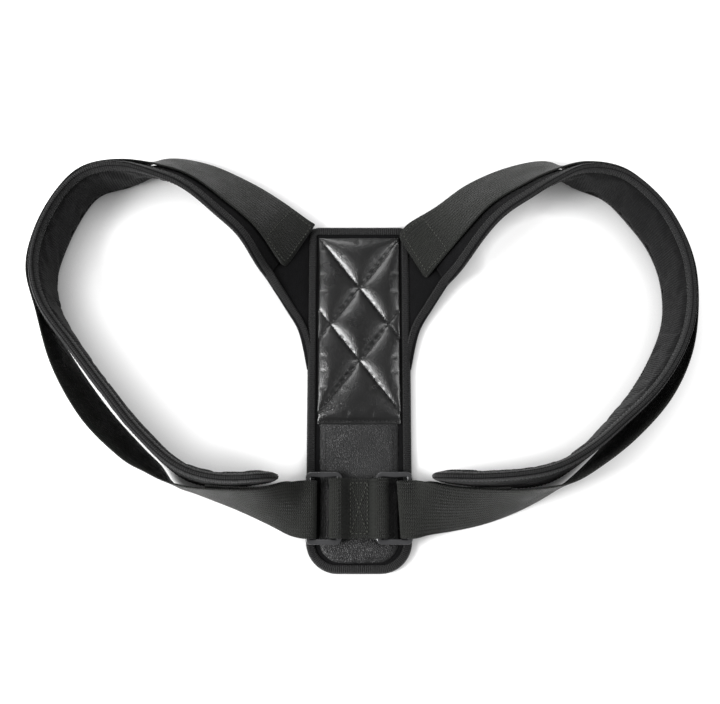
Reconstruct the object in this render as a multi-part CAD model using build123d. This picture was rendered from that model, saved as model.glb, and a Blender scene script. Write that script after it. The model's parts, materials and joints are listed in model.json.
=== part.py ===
"""Back brace: a padded back panel with two shoulder loops, lying on a flat surface.

Frame: millimetres, +X to the right, +Y towards the neck, +Z up from the surface.
The origin is the centre of the panel's skin-side face, which lies on the surface.
The left side is modelled at -X; "out" is the distance from the spine line.
"""
from build123d import *
import math
import os

os.makedirs("parts", exist_ok=True)

# ---- driving dimensions -------------------------------------------------------------
PANEL_W = 87.0          # back panel, across the spine
PANEL_L = 293.5         # back panel, along the spine
PANEL_END_R = 26.0      # rounding of the two corners at the waist end
PANEL_NECK_R = 3.0      # rounding of the two corners at the neck end
LINING_T = 0.85         # skin-side lining of the panel
CORE_T = 3.5            # stiff board in the panel
COVER_T = 1.1           # outer fabric of the panel

TAPE_W = 7.0            # binding tape, width seen on each face
TAPE_T = 0.8            # binding tape, thickness

QUILT_W = 69.5          # quilted leatherette pad
QUILT_L = 162.0
QUILT_T = 4.6
QUILT_NECK_GAP = 9.5    # from the panel's neck end to the pad
QUILT_PITCH = 63.0      # between quilting crossings along the spine
QUILT_FIRST = 54.5      # from the panel's neck end to the first crossing
QUILT_SLOPE = 1.27      # rise over run of a quilting line
PATCH_W = 62.0          # smooth leatherette patch below the pad
PATCH_END_GAP = 8.0     # from the patch to the panel's waist end
PATCH_T = 1.0

WEB_T = 1.5             # webbing thickness
STRAP_W = 47.0          # shoulder strap webbing, width
TAIL_W = 43.0           # hook-and-loop tail of the strap, width
HOOK_T = 0.9            # hook tape on the tail

RING_OPEN = 50.0        # inside length of a ring, along Y
RING_SPAN = 25.2        # between the middles of a ring's two long bars
RING_BAR = 4.5          # width of a ring's bar
RING_T = 2.6            # thickness of a ring
RING_Y = -94.0          # middle of the rings along the spine
TAB_BAR_X = 16.3        # from the spine to a ring's inner bar
TAB_W = 49.0            # tab webbing, width

PAD_W = 62.0            # shoulder pad, width
FOAM_T = 6.4            # foam in the shoulder pad
PAD_SKIN_T = 0.8        # lining and cover of the shoulder pad
GUSSET_T = 6.0          # flat gusset between panel and shoulder pad

THREAD_W = 0.9          # a row of stitching
THREAD_T = 0.5

# ---- named clearances ---------------------------------------------------------------
LAYER_GAP = 0.1         # between sewn layers
SLIDE_GAP = 0.3         # between pieces that move past each other
TAIL_GAP = 0.9          # between the panel's edge and the strap's tail over it
EYE_PLAY = 0.9          # between a bar's corner and the webbing eye round it
SEAM_GAP = 0.9          # between the panel's edge and the folding loop
SEWN_GAP = 1.0          # between the shoulder pad's tape and the strap on it

# ---- worked-out sizes ---------------------------------------------------------------
PANEL_TOP = LINING_T + CORE_T + COVER_T + 2 * LAYER_GAP
TAPE_TOP = PANEL_TOP + TAPE_T
PATCH_TOP = PANEL_TOP + LAYER_GAP + PATCH_T
EYE_R = math.hypot(RING_BAR / 2, RING_T / 2) + EYE_PLAY
EYE_OUT_R = EYE_R + WEB_T
RING_Z = max(TAPE_TOP, PATCH_TOP) + TAIL_GAP + EYE_OUT_R
STRAP_BAR_X = TAB_BAR_X + RING_SPAN
SEAM_X = PANEL_W / 2 + SEAM_GAP
PAD_HALF = FOAM_T / 2 + LAYER_GAP + PAD_SKIN_T + TAPE_T
NECK_Y = PANEL_L / 2
STRAP_Y0 = RING_Y - RING_OPEN / 2 + SLIDE_GAP
STRAP_Y1 = STRAP_Y0 + STRAP_W
STRAP_TOP_Z = RING_Z + EYE_R + WEB_T / 2

# ---- where the two loops lie --------------------------------------------------------
# A shoulder pad's station: out, y and tilt in degrees of the edge nearest the surface.
# Tilt 0 lies flat with the outer face up, 90 stands on edge with it facing outwards.
PAD_STATIONS = {
    "left": [
        (45, 150, 10), (70, 166.5, 37), (97, 183, 45), (134, 199, 56), (170, 203, 63),
        (199, 187, 86.5), (227, 178.8, 89), (242.8, 157, 93), (255.4, 127.2, 94.5),
        (262, 98, 92), (254.5, 66, 90), (231.4, 28.7, 86), (203.1, -8.8, 85),
        (175.5, -38.5, 87), (142.8, -67.6, 86), (107, -73, 90), (66, -67.8, 93),
    ],
    "right": [
        (45, 148, 6), (70, 162, 34.5), (97, 181.4, 45), (132, 196.4, 51.5), (166, 201, 59.5),
        (188.5, 185.5, 85.5), (214.5, 174.3, 93.5), (235.3, 150.5, 98.5),
        (251.3, 126.7, 97.5), (260.4, 98, 97), (260.4, 64, 97), (249.4, 34.2, 98.5),
        (231, 2.8, 96.5), (206.9, -27.5, 91), (182.2, -53, 87), (150.2, -72.2, 84),
        (104, -73.2, 88.5), (60, -67, 94),
    ],
}
# The strap is sewn on the pad as far as this many stations, then it runs free.
SEWN_STATIONS = {"left": 11, "right": 11}
# The strap's sewn end reaches in over the panel's edge: out, y, z of both edges.
STRAP_ENDS = {
    "left": (38, 148.5, 9.8, 62, 108.5, 11),
    "right": (38, 141.5, 9.8, 60, 100, 11),
}
# A free strap's station: out, y, z of its lower edge, then of its upper edge.
STRAP_STATIONS = {
    "left": [
        (237, 24.6, 4, 246, 17.5, 50.4), (208.4, -13.1, 4, 220.3, -25.3, 49),
        (180.3, -43.4, 3.5, 188.4, -55.8, 49), (164, -59.2, 3, 168.3, -67, 49.6),
        (152.5, -74.5, 2, 152.5, -74.5, 49), (133, -82, 1.5, 132, -79.5, 48.4),
        (101, -94.5, 1.5, 100.5, -80.9, 46.5), (75, -106.5, 4, 77, -80, 42),
        (58, -115.5, 10, 59, -74.5, 30),
    ],
    "right": [
        (258, 27.5, 4.5, 266, 25, 51), (237.2, -2.6, 4, 248, -10, 49.6),
        (212, -32.3, 3.5, 219.6, -40.6, 49), (187.2, -58.3, 3, 190.4, -62.8, 49.6),
        (165.5, -76.6, 2, 166, -76, 48.9), (135, -94, 1.5, 133, -81, 46.5),
        (104, -106, 1.5, 103, -80.7, 40.5), (76, -112.5, 4, 78, -78.5, 36),
        (58, -115.5, 10, 59, -74.5, 30),
    ],
}
TAIL_END_OUT = 122.0    # how far out the tail reaches
LAST_STATION_OUT = 46.0  # the strap lies flat from here to the ring
# The gusset's free edge, from the pad to the panel's side: out, y.
GUSSET_EDGE = [(73, 96), (62, 74), (51, 55.5), (SEAM_X, 33)]


def save(node, solid):
    """Write one node as its STEP file."""
    solid.label = node
    export_step(solid, f"parts/{node}.step")


def on_side(side, solid):
    """Everything is built at -X; the right side is its mirror image."""
    return solid if side == "left" else solid.mirror(Plane.YZ)


def smooth(points, parts):
    """Points on the smooth curve through the given ones (a Catmull-Rom curve)."""
    count = len(points)
    curve = []
    for i in range(count - 1):
        before = points[max(i - 1, 0)]
        after = points[min(i + 2, count - 1)]
        a, b = points[i], points[i + 1]
        for k in range(parts):
            t = k / parts
            curve.append(
                a * (1 - 3 * t * t + 2 * t ** 3)
                + b * (3 * t * t - 2 * t ** 3)
                + (b - before) * 0.5 * (t - 2 * t * t + t ** 3)
                + (after - a) * 0.5 * (t ** 3 - t * t)
            )
    curve.append(points[-1])
    return curve


def frames(lower, upper):
    """For each pair of edge points: the lower one, the way across and the way out."""
    middle = [(a + b) * 0.5 for a, b in zip(lower, upper)]
    last = len(middle) - 1
    found = []
    for i, (a, b) in enumerate(zip(lower, upper)):
        along = middle[min(i + 1, last)] - middle[max(i - 1, 0)]
        across = (b - a).normalized()
        found.append((a, across, along.cross(across).normalized(), (b - a).length))
    return found


def loft_of(profile, stations):
    """A closed solid through one profile per station; profile(width) gives (v, n) pairs."""
    wires = []
    for start, across, out, width in stations:
        corners = [start + across * v + out * n for v, n in profile(width)]
        wires.append(Wire.make_polygon(corners, close=True))
    return Solid.make_loft(wires, True)


def layer(stations, n0, n1, v0=0.0, v1=0.0):
    """A flat layer from n0 to n1 off the middle surface, v0 and v1 in from its edges."""
    return loft_of(
        lambda w: [(v0, n0), (w - v1, n0), (w - v1, n1), (v0, n1)], stations
    )


def tape(stations, at_upper):
    """Binding tape folded round one edge of the pad: a C-shaped profile."""
    inside = PAD_HALF - TAPE_T
    shape = [
        (0, -PAD_HALF), (TAPE_W, -PAD_HALF), (TAPE_W, -inside), (TAPE_T, -inside),
        (TAPE_T, inside), (TAPE_W, inside), (TAPE_W, PAD_HALF), (0, PAD_HALF),
    ]
    if at_upper:
        return loft_of(lambda w: [(w - v, n) for v, n in shape], stations)
    return loft_of(lambda w: shape, stations)


def pad_edges(side):
    """Both edges of a shoulder pad, as points, from its stations."""
    stations = PAD_STATIONS[side]
    places = [Vector(-out, y, 0) for out, y, _ in stations]
    last = len(places) - 1
    lower, upper = [], []
    for i, (_, _, tilt) in enumerate(stations):
        along = (places[min(i + 1, last)] - places[max(i - 1, 0)]).normalized()
        inward = Vector(0, 0, 1).cross(along)
        lean = math.radians(tilt)
        lift = Vector(0, 0, PAD_HALF * abs(math.cos(lean)))
        lower.append(places[i] + lift)
        way = inward * math.cos(lean) + Vector(0, 0, math.sin(lean))
        upper.append(lower[-1] + way * PAD_W)
    return lower, upper


def strap_edges(side):
    """Both edges of the strap's middle surface: sewn on the pad, then free to the ring."""
    xo, yo, zo, xi, yi, zi = STRAP_ENDS[side]
    lower, upper = [Vector(-xo, yo, zo)], [Vector(-xi, yi, zi)]
    sewn = frames(*pad_edges(side))[: SEWN_STATIONS[side]]
    rise = PAD_HALF + SEWN_GAP + WEB_T / 2
    for i, (start, across, out, _) in enumerate(sewn):
        shift = -1 + 7 * min(i / 6, 1)
        lower.append(start + across * shift + out * rise)
        upper.append(start + across * (shift + STRAP_W) + out * rise)
    for xo, yo, zo, xi, yi, zi in STRAP_STATIONS[side]:
        lower.append(Vector(-xo, yo, zo))
        upper.append(Vector(-xi, yi, zi))
    for out in (LAST_STATION_OUT, STRAP_BAR_X):
        lower.append(Vector(-out, STRAP_Y0, STRAP_TOP_Z))
        upper.append(Vector(-out, STRAP_Y1, STRAP_TOP_Z))
    return lower, upper


def eye(bar_x, y0, y1):
    """The half of a webbing eye on the spine side of a bar at -bar_x."""
    ring = Circle(EYE_OUT_R) - Circle(EYE_R)
    half = ring & Pos(EYE_OUT_R, 0) * Rectangle(2 * EYE_OUT_R, 2 * EYE_OUT_R)
    plane = Plane(origin=(-bar_x, y1, RING_Z), x_dir=(1, 0, 0), z_dir=(0, -1, 0))
    return extrude(plane * half, y1 - y0)


# ---- back panel ---------------------------------------------------------------------
def panel_face(inset=0.0):
    """The panel's outline: square at the neck, well rounded at the waist."""
    outline = Rectangle(PANEL_W, PANEL_L)
    corners = outline.vertices().sort_by(Axis.Y)
    outline = fillet(corners[:2], PANEL_END_R)
    corners = outline.vertices().sort_by(Axis.Y)
    outline = fillet(corners[-2:], PANEL_NECK_R)
    if inset:
        outline = offset(outline, -inset)
    return outline


def slab(face, z0, z1):
    return extrude(Pos(0, 0, z0) * face, z1 - z0)


def stitch_row(ends, z):
    """A row of stitching between two points, as one thin bar lying at height z."""
    (x0, y0), (x1, y1) = ends
    length = math.hypot(x1 - x0, y1 - y0)
    turn = math.degrees(math.atan2(y1 - y0, x1 - x0))
    bar = Box(length, THREAD_W, THREAD_T, align=(Align.CENTER, Align.CENTER, Align.MIN))
    return Pos((x0 + x1) / 2, (y0 + y1) / 2, z) * Rot(0, 0, turn) * bar


def joined(rows):
    whole = rows[0]
    for row in rows[1:]:
        whole = whole + row
    return whole


def make_panel():
    core_z = LINING_T + LAYER_GAP
    cover_z = core_z + CORE_T + LAYER_GAP
    slot = TAPE_T + LAYER_GAP
    save("panel_lining", slab(panel_face(TAPE_W + LAYER_GAP), 0, LINING_T))
    save("panel_core", slab(panel_face(slot), core_z, core_z + CORE_T))
    save("panel_cover", slab(panel_face(slot), cover_z, PANEL_TOP))
    binding = slab(panel_face(), 0, TAPE_TOP)
    binding -= slab(panel_face(TAPE_W), -1, TAPE_TOP + 1)
    binding -= slab(panel_face(TAPE_T), TAPE_T, PANEL_TOP + LAYER_GAP / 2)
    save("panel_binding", binding)


QUILT_Y1 = NECK_Y - QUILT_NECK_GAP
QUILT_Y0 = QUILT_Y1 - QUILT_L
QUILT_Z = PANEL_TOP + LAYER_GAP
QUILT_TOP = QUILT_Z + QUILT_T


def quilt_lines():
    """The diamond lines: a cross at each crossing on the spine, cut to the pad."""
    half = QUILT_W / 2 - 1.5
    lines = []
    for crossing in range(2):
        middle = NECK_Y - QUILT_FIRST - crossing * QUILT_PITCH
        low = max(-half, (QUILT_Y0 + 2 - middle) / QUILT_SLOPE)
        high = min(half, (QUILT_Y1 - 2 - middle) / QUILT_SLOPE)
        for way in (1, -1):
            ends = [(way * x, middle + QUILT_SLOPE * x) for x in (low, high)]
            lines.append(ends)
    return lines


def make_quilt():
    pad = Pos(0, (QUILT_Y0 + QUILT_Y1) / 2, QUILT_Z + QUILT_T / 2)
    pad = pad * Box(QUILT_W, QUILT_L, QUILT_T)
    pad = chamfer(pad.edges().group_by(Axis.Z)[-1], min(2.5, QUILT_T * 0.6))
    save("quilted_pad", pad)
    half = QUILT_W / 2 - 3.5
    rows = [stitch_row(line, QUILT_TOP) for line in quilt_lines()]
    rows.append(stitch_row([(-half, QUILT_Y0 + 4), (half, QUILT_Y0 + 4)], QUILT_TOP))
    save("quilt_stitching", joined(rows))


def make_patch():
    y1 = QUILT_Y0 - 1.0
    y0 = -NECK_Y + PATCH_END_GAP
    face = Pos(0, (y0 + y1) / 2) * Rectangle(PATCH_W, y1 - y0)
    face = fillet(face.vertices().sort_by(Axis.Y)[:2], PANEL_END_R - PATCH_END_GAP)
    z0 = PANEL_TOP + LAYER_GAP
    save("lower_patch", slab(face, z0, z0 + PATCH_T))
    side = PATCH_W / 2 - 3
    rows = []
    for x in (-side, side):
        rows.append(stitch_row([(x, y0 + PANEL_END_R), (x, y1 - 3)], PATCH_TOP))
    save("patch_stitching", joined(rows))


def make_tab():
    """Tab webbing: a flat stack on the panel with an eye round each ring's inner bar."""
    y0 = RING_Y - TAB_W / 2
    tube = Circle(EYE_OUT_R) - Circle(EYE_R)
    flat = 2 * WEB_T
    reach = TAB_BAR_X - math.sqrt(EYE_OUT_R ** 2 - (EYE_OUT_R - flat) ** 2)
    plate = Pos(0, -EYE_OUT_R + flat / 2) * Rectangle(2 * reach + 1, flat)
    profile = plate + Pos(-TAB_BAR_X, 0) * tube + Pos(TAB_BAR_X, 0) * tube
    plane = Plane(origin=(0, y0 + TAB_W, RING_Z), x_dir=(1, 0, 0), z_dir=(0, -1, 0))
    save("ring_tab", extrude(plane * profile, TAB_W))
    half_x, half_y = reach - 2.5, TAB_W / 2 - 4
    z = RING_Z - EYE_OUT_R + flat
    low, high = RING_Y - half_y, RING_Y + half_y
    rows = [
        stitch_row([(-half_x, low), (half_x, low)], z),
        stitch_row([(-half_x, high), (half_x, high)], z),
        stitch_row([(-half_x, low), (-half_x, high)], z),
        stitch_row([(half_x, low), (half_x, high)], z),
        stitch_row([(-half_x, low), (half_x, high)], z),
        stitch_row([(-half_x, high), (half_x, low)], z),
    ]
    save("tab_stitching", joined(rows))


def make_ring(side):
    """A flat rectangular ring with rounded corners, lying level."""
    wide = RING_SPAN + RING_BAR
    tall = RING_OPEN + 2 * RING_BAR
    frame = RectangleRounded(wide, tall, RING_BAR)
    frame -= RectangleRounded(RING_SPAN - RING_BAR, RING_OPEN, 1.0)
    ring = extrude(frame, RING_T / 2, both=True)
    ring = chamfer(ring.edges().group_by(Axis.Z)[-1], 0.5)
    ring = chamfer(ring.edges().group_by(Axis.Z)[0], 0.5)
    middle = (TAB_BAR_X + STRAP_BAR_X) / 2
    ring = Pos(-middle, RING_Y, RING_Z) * ring
    save(f"{side}_ring", on_side(side, ring))


# ---- shoulder loops -----------------------------------------------------------------
def make_pad(side):
    lower, upper = pad_edges(side)
    stations = frames(smooth(lower, 2), smooth(upper, 2))
    edge = TAPE_T + LAYER_GAP
    half = FOAM_T / 2
    skin = half + LAYER_GAP
    save(f"{side}_pad_foam", on_side(side, layer(stations, -half, half, edge, edge)))
    outer = layer(stations, skin, skin + PAD_SKIN_T - 0.05, edge, edge)
    save(f"{side}_pad_cover", on_side(side, outer))
    inner = layer(stations, -skin - PAD_SKIN_T + 0.05, -skin, edge, edge)
    save(f"{side}_pad_lining", on_side(side, inner))
    save(f"{side}_pad_lower_tape", on_side(side, tape(stations, False)))
    save(f"{side}_pad_upper_tape", on_side(side, tape(stations, True)))


def make_gusset(side):
    """The flat three-cornered piece between the panel's side and the shoulder pad."""
    start = PAD_STATIONS[side][0]
    neck = (SEAM_X, start[1] - 3)
    edge = [(-out, y) for out, y in GUSSET_EDGE]
    inner = [(-out + TAPE_W * 0.75, y + TAPE_W * 0.55) for out, y in GUSSET_EDGE[:-1]]
    inner.append((-SEAM_X, GUSSET_EDGE[-1][1] + 1.6 * TAPE_W))
    inner[-2] = (min(inner[-2][0], -SEAM_X), inner[-2][1] + TAPE_W * 0.6)
    body = Polyline([(-neck[0], neck[1])] + inner, close=True)
    top = GUSSET_T + LAYER_GAP
    save(f"{side}_gusset", on_side(side, slab(make_face(body), LAYER_GAP, top)))
    strip = make_face(Polyline(edge + inner[::-1], close=True))
    save(f"{side}_gusset_tape", on_side(side, slab(strip, 0, GUSSET_T + TAPE_T)))


def make_strap(side):
    """Webbing from the pad round the loop, through the ring and back as the tail."""
    lower, upper = strap_edges(side)
    whole = frames(smooth(lower, 2), smooth(upper, 2))
    strap = layer(whole, -WEB_T / 2, WEB_T / 2)
    strap += eye(STRAP_BAR_X, STRAP_Y0, STRAP_Y1)
    marked = frames(lower, upper)[::-1]
    inset = (STRAP_W - TAIL_W) / 2
    drop = 2 * EYE_R + WEB_T
    close = WEB_T + HOOK_T + 2 * LAYER_GAP
    tail_lower, tail_upper = [], []
    for i, (start, across, out, _) in enumerate(marked):
        down = max(drop - i * (drop - close) / 3, close)
        if i < 2:
            down = drop
        tail_lower.append(start + across * inset - out * down)
        tail_upper.append(start + across * (inset + TAIL_W) - out * down)
        if -start.X > TAIL_END_OUT:
            break
    reach = (TAIL_END_OUT + tail_lower[-2].X) / (tail_lower[-2].X - tail_lower[-1].X)
    for line in (tail_lower, tail_upper):
        line[-1] = line[-2] + (line[-1] - line[-2]) * reach
    tail_frames = frames(smooth(tail_lower[::-1], 2), smooth(tail_upper[::-1], 2))
    strap += layer(tail_frames, -WEB_T / 2, WEB_T / 2)
    save(f"{side}_strap", on_side(side, strap))
    hook = layer(tail_frames[:5], WEB_T / 2 + LAYER_GAP, WEB_T / 2 + HOOK_T, 3, 3)
    save(f"{side}_hook_tape", on_side(side, hook))


def between(a, b, t):
    """The frame at share t of the way from frame a to frame b."""
    return tuple(p + (q - p) * t for p, q in zip(a, b))


def make_strap_stitching(side):
    """The box of stitching that holds the strap's end down, as one thin closed frame."""
    lower, upper = strap_edges(side)
    ends = frames(smooth(lower, 2), smooth(upper, 2))[:5]
    near = between(ends[0], ends[1], 0.3)
    far = between(ends[3], ends[4], 0.3)
    low = WEB_T / 2 + LAYER_GAP
    high = low + THREAD_T
    sides = [near] + ends[1:4] + [far]
    box = layer(sides, low, high, 4, STRAP_W - 4 - THREAD_W)
    box += layer(sides, low, high, STRAP_W - 4 - THREAD_W, 4)
    low += 0.05
    high -= 0.05
    box += layer([near, between(ends[0], ends[1], 0.55)], low, high, 4.2, 4.2)
    box += layer([between(ends[3], ends[4], 0.24), far], low, high, 4.2, 4.2)
    save(f"{side}_strap_stitching", on_side(side, box))


make_panel()
make_quilt()
make_patch()
make_tab()
for name in ("left", "right"):
    make_ring(name)
    make_pad(name)
    make_gusset(name)
    make_strap(name)
    make_strap_stitching(name)
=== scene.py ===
# %% [markdown]
# # A back brace: leatherette spine panel, two padded shoulder loops, two rings
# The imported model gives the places. Every piece here is a surface worked out with numpy
# around it, in metres: a profile carried along a band, a path or a flat outline.

# %% Load the frame
import json
import math

import bmesh
import bpy
import numpy as np
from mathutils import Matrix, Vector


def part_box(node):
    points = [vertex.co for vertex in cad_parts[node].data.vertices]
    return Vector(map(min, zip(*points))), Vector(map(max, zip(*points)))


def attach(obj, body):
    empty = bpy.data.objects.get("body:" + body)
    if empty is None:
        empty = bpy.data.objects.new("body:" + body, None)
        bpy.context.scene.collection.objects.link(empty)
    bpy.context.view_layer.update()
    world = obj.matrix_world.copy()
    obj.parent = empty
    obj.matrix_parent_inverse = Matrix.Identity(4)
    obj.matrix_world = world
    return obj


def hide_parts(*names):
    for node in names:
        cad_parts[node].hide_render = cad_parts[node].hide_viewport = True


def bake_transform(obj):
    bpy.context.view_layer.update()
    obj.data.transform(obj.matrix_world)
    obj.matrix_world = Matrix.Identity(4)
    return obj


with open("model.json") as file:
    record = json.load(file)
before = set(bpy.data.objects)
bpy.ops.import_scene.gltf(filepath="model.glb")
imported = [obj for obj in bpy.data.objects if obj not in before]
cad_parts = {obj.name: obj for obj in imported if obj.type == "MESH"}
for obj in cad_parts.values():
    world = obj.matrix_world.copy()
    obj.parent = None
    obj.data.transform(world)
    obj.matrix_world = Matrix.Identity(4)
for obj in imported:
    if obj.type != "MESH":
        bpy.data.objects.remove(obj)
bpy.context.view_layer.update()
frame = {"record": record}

MM = 0.001
JOINTS = {joint["name"]: joint for joint in frame["record"]["behaviour"]["joints"]}

# %% [markdown]
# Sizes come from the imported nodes' boxes and the joints, so the looks follow the CAD.

# %% Places read from the frame
PANEL_LOW, PANEL_HIGH = (np.array(c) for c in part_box("panel_binding"))
COVER_LOW, COVER_HIGH = (np.array(c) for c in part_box("panel_cover"))
QUILT_LOW, QUILT_HIGH = (np.array(c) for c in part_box("quilted_pad"))
PATCH_LOW, PATCH_HIGH = (np.array(c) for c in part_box("lower_patch"))
TAB_LOW, TAB_HIGH = (np.array(c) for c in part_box("ring_tab"))
RING_LOW, RING_HIGH = (np.array(c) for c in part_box("right_ring"))
RING_Z = JOINTS["right_ring_swing"]["pos_m"][2]
TAB_BAR_X = JOINTS["right_ring_swing"]["pos_m"][0]
STRAP_BAR_X = JOINTS["right_loop_fold"]["pos_m"][0]
PANEL_END_R = 26 * MM
TAPE_W = 7 * MM
TAPE_T = 0.8 * MM
WEB_T = 1.5 * MM
STRAP_W = 47 * MM
PAD_W = 62 * MM
EYE_R = (TAB_HIGH[2] - TAB_LOW[2]) / 2 - WEB_T / 2
print("panel", (PANEL_HIGH - PANEL_LOW) / MM, "ring height", RING_Z / MM)

# %% [markdown]
# Each shoulder pad is a band whose lower edge follows these stations: out from the spine,
# along it, and the tilt in degrees. Tilt 0 lies flat, 90 stands on edge.
# The strap shares the pad's first stations, then runs free by edge points of its own.

# %% Where the loops lie (millimetres, degrees)
PAD_STATIONS = {
    "left": [
        (45, 150, 10), (70, 166.5, 37), (97, 183, 45), (134, 199, 56), (170, 203, 63),
        (199, 187, 86.5), (227, 178.8, 89), (242.8, 157, 93), (255.4, 127.2, 94.5),
        (262, 98, 92), (254.5, 66, 90), (231.4, 28.7, 86), (203.1, -8.8, 85),
        (175.5, -38.5, 87), (142.8, -67.6, 86), (107, -73, 90), (66, -67.8, 93),
    ],
    "right": [
        (45, 148, 6), (70, 162, 34.5), (97, 181.4, 45), (132, 196.4, 51.5), (166, 201, 59.5),
        (188.5, 185.5, 85.5), (214.5, 174.3, 93.5), (235.3, 150.5, 98.5),
        (251.3, 126.7, 97.5), (260.4, 98, 97), (260.4, 64, 97), (249.4, 34.2, 98.5),
        (231, 2.8, 96.5), (206.9, -27.5, 91), (182.2, -53, 87), (150.2, -72.2, 84),
        (104, -73.2, 88.5), (60, -67, 94),
    ],
}
SEWN_STATIONS = {"left": 11, "right": 11}
STRAP_ENDS = {
    "left": (37.5, 149.5, 8.4, 61.5, 110.5, 11),
    "right": (33.5, 137.5, 8.6, 57, 98.5, 11),
}
STRAP_STATIONS = {
    "left": [
        (237, 24.6, 4, 246, 17.5, 50.4), (208.4, -13.1, 4, 220.3, -25.3, 49),
        (180.3, -43.4, 3.5, 188.4, -55.8, 49), (164, -59.2, 3, 168.3, -67, 49.6),
        (152.5, -74.5, 2, 152.5, -74.5, 49), (133, -82, 1.5, 132, -79.5, 48.4),
        (101, -94.5, 1.5, 100.5, -80.9, 46.5), (75, -106.5, 4, 77, -80, 42),
        (58, -115.5, 10, 59, -74.5, 30),
    ],
    "right": [
        (258, 27.5, 4.5, 266, 25, 51), (237.2, -2.6, 4, 248, -10, 49.6),
        (212, -32.3, 3.5, 219.6, -40.6, 49), (187.2, -58.3, 3, 190.4, -62.8, 49.6),
        (165.5, -76.6, 2, 166, -76, 48.9), (135, -94, 1.5, 133, -81, 46.5),
        (104, -106, 1.5, 103, -80.7, 40.5), (76, -112.5, 4, 78, -78.5, 36),
        (58, -115.5, 10, 59, -74.5, 30),
    ],
}
PAD_HALF = 4.9 * MM
STRAP_RISE = PAD_HALF + 1.75 * MM
TAIL_END_OUT = 122 * MM
LAST_STATION_OUT = 46 * MM
STRAP_Y0 = (RING_LOW[1] + RING_HIGH[1]) / 2 - 24.7 * MM

# %% [markdown]
# Curves first. A Catmull-Rom curve passes through its points, and a frame along it (the
# edge point, the way across, the way out) lets any profile be carried along a band.

# %% Curves and frames
def smooth(points, parts=8):
    """Catmull-Rom: each span is a cubic whose end slopes are half the chord beside it."""
    p = np.asarray(points, float)
    before = np.vstack([p[:1], p[:-2]])
    after = np.vstack([p[2:], p[-1:]])
    t = (np.arange(parts) / parts)[None, :, None]
    a, b = p[:-1, None], p[1:, None]
    slope_a, slope_b = (b - before[:, None]) / 2, (after[:, None] - a) / 2
    cubic = a * (1 - 3 * t**2 + 2 * t**3) + b * (3 * t**2 - 2 * t**3)
    cubic += slope_a * (t - 2 * t**2 + t**3) + slope_b * (t**3 - t**2)
    return np.vstack([cubic.reshape(-1, p.shape[1]), p[-1:]])


def unit(v):
    return v / np.maximum(np.linalg.norm(v, axis=-1, keepdims=True), 1e-12)


def lengths(path):
    """The distance run along a path, at each of its points."""
    return np.concatenate([[0], np.cumsum(np.linalg.norm(np.diff(path, axis=0), axis=1))])


def resampled(path, at, s=None):
    """The path's values at the distances at, by straight lines between its points."""
    s = lengths(path) if s is None else s
    return np.stack([np.interp(at, s, path[:, k]) for k in range(path.shape[1])], axis=1)


def softened(values, passes):
    """Each pass moves every inner row to the mean of itself and its neighbours' middle."""
    v = values.copy()
    for _ in range(passes):
        v[1:-1] = (v[:-2] + 2 * v[1:-1] + v[2:]) / 4
    return v


def band_of(lower, upper, step=2.5 * MM, passes=10):
    """A band between two edges: rows of edge point, way across, way out, evenly spaced."""
    s = lengths((lower + upper) / 2)
    at = np.linspace(0, s[-1], max(int(s[-1] / step), 8))
    edges = np.hstack([resampled(lower, at, s), resampled(upper, at, s)])
    edges = softened(edges, passes)
    low, high = edges[:, :3], edges[:, 3:]
    across = unit(high - low)
    out = unit(np.cross(np.gradient((low + high) / 2, axis=0), across))
    return {"s": at, "edge": low, "across": across, "out": out, "length": at[-1]}


def place(band, s, v, n):
    """The point s along, v across and n out of a band, for arrays of one shape."""
    s, v, n = np.broadcast_arrays(s, v, n)
    rows = {k: resampled(band[k], s.ravel(), band["s"]) for k in ("edge", "across", "out")}
    spot = rows["edge"] + rows["across"] * v.reshape(-1, 1) + rows["out"] * n.reshape(-1, 1)
    return spot.reshape(s.shape + (3,))


# %% [markdown]
# A surface is a grid of points. Its faces join neighbours; a profile that closes on
# itself wraps round, and open ends get a cap. The map on each piece is in millimetres.

# %% Grids into meshes
def mesh_object(name, points, wrap=(False, False), map_mm=None, capped=False):
    """points is (rows, columns, 3). wrap says which way closes; map_mm holds u and v."""
    rows, columns = points.shape[:2]
    i = np.arange(rows if wrap[0] else rows - 1)
    j = np.arange(columns if wrap[1] else columns - 1)
    i, j = (g.ravel() for g in np.meshgrid(i, j, indexing="ij"))
    i1, j1 = (i + 1) % rows, (j + 1) % columns
    quads = np.stack([i * columns + j, i1 * columns + j, i1 * columns + j1, i * columns + j1], 1)
    faces = quads.tolist()
    if capped and wrap[1]:
        faces.append(list(range(columns)))
        faces.append(list(range((rows - 1) * columns, rows * columns)))
    mesh = bpy.data.meshes.new(name)
    mesh.from_pydata(points.reshape(-1, 3).tolist(), [], faces)
    if map_mm is None:
        map_mm = default_map(points)
    u, v = map_mm
    corner_u = np.stack([u[i], u[i + 1], u[i + 1], u[i]], 1)
    corner_v = np.stack([v[j], v[j], v[j + 1], v[j + 1]], 1)
    flat = np.zeros((len(mesh.loops), 2))
    flat[: quads.size, 0] = corner_u.ravel()
    flat[: quads.size, 1] = corner_v.ravel()
    layer = mesh.uv_layers.new(name="UVMap")
    layer.data.foreach_set("uv", flat.ravel().astype(np.float32))
    return finished(name, mesh)


def default_map(points):
    """u runs along the middle column and v round the first row, both in millimetres."""
    middle = points[:, points.shape[1] // 2]
    closed = np.vstack([middle, middle[:1]])
    around = np.vstack([points[points.shape[0] // 2], points[points.shape[0] // 2][:1]])
    return lengths(closed) / MM, lengths(around) / MM


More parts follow.
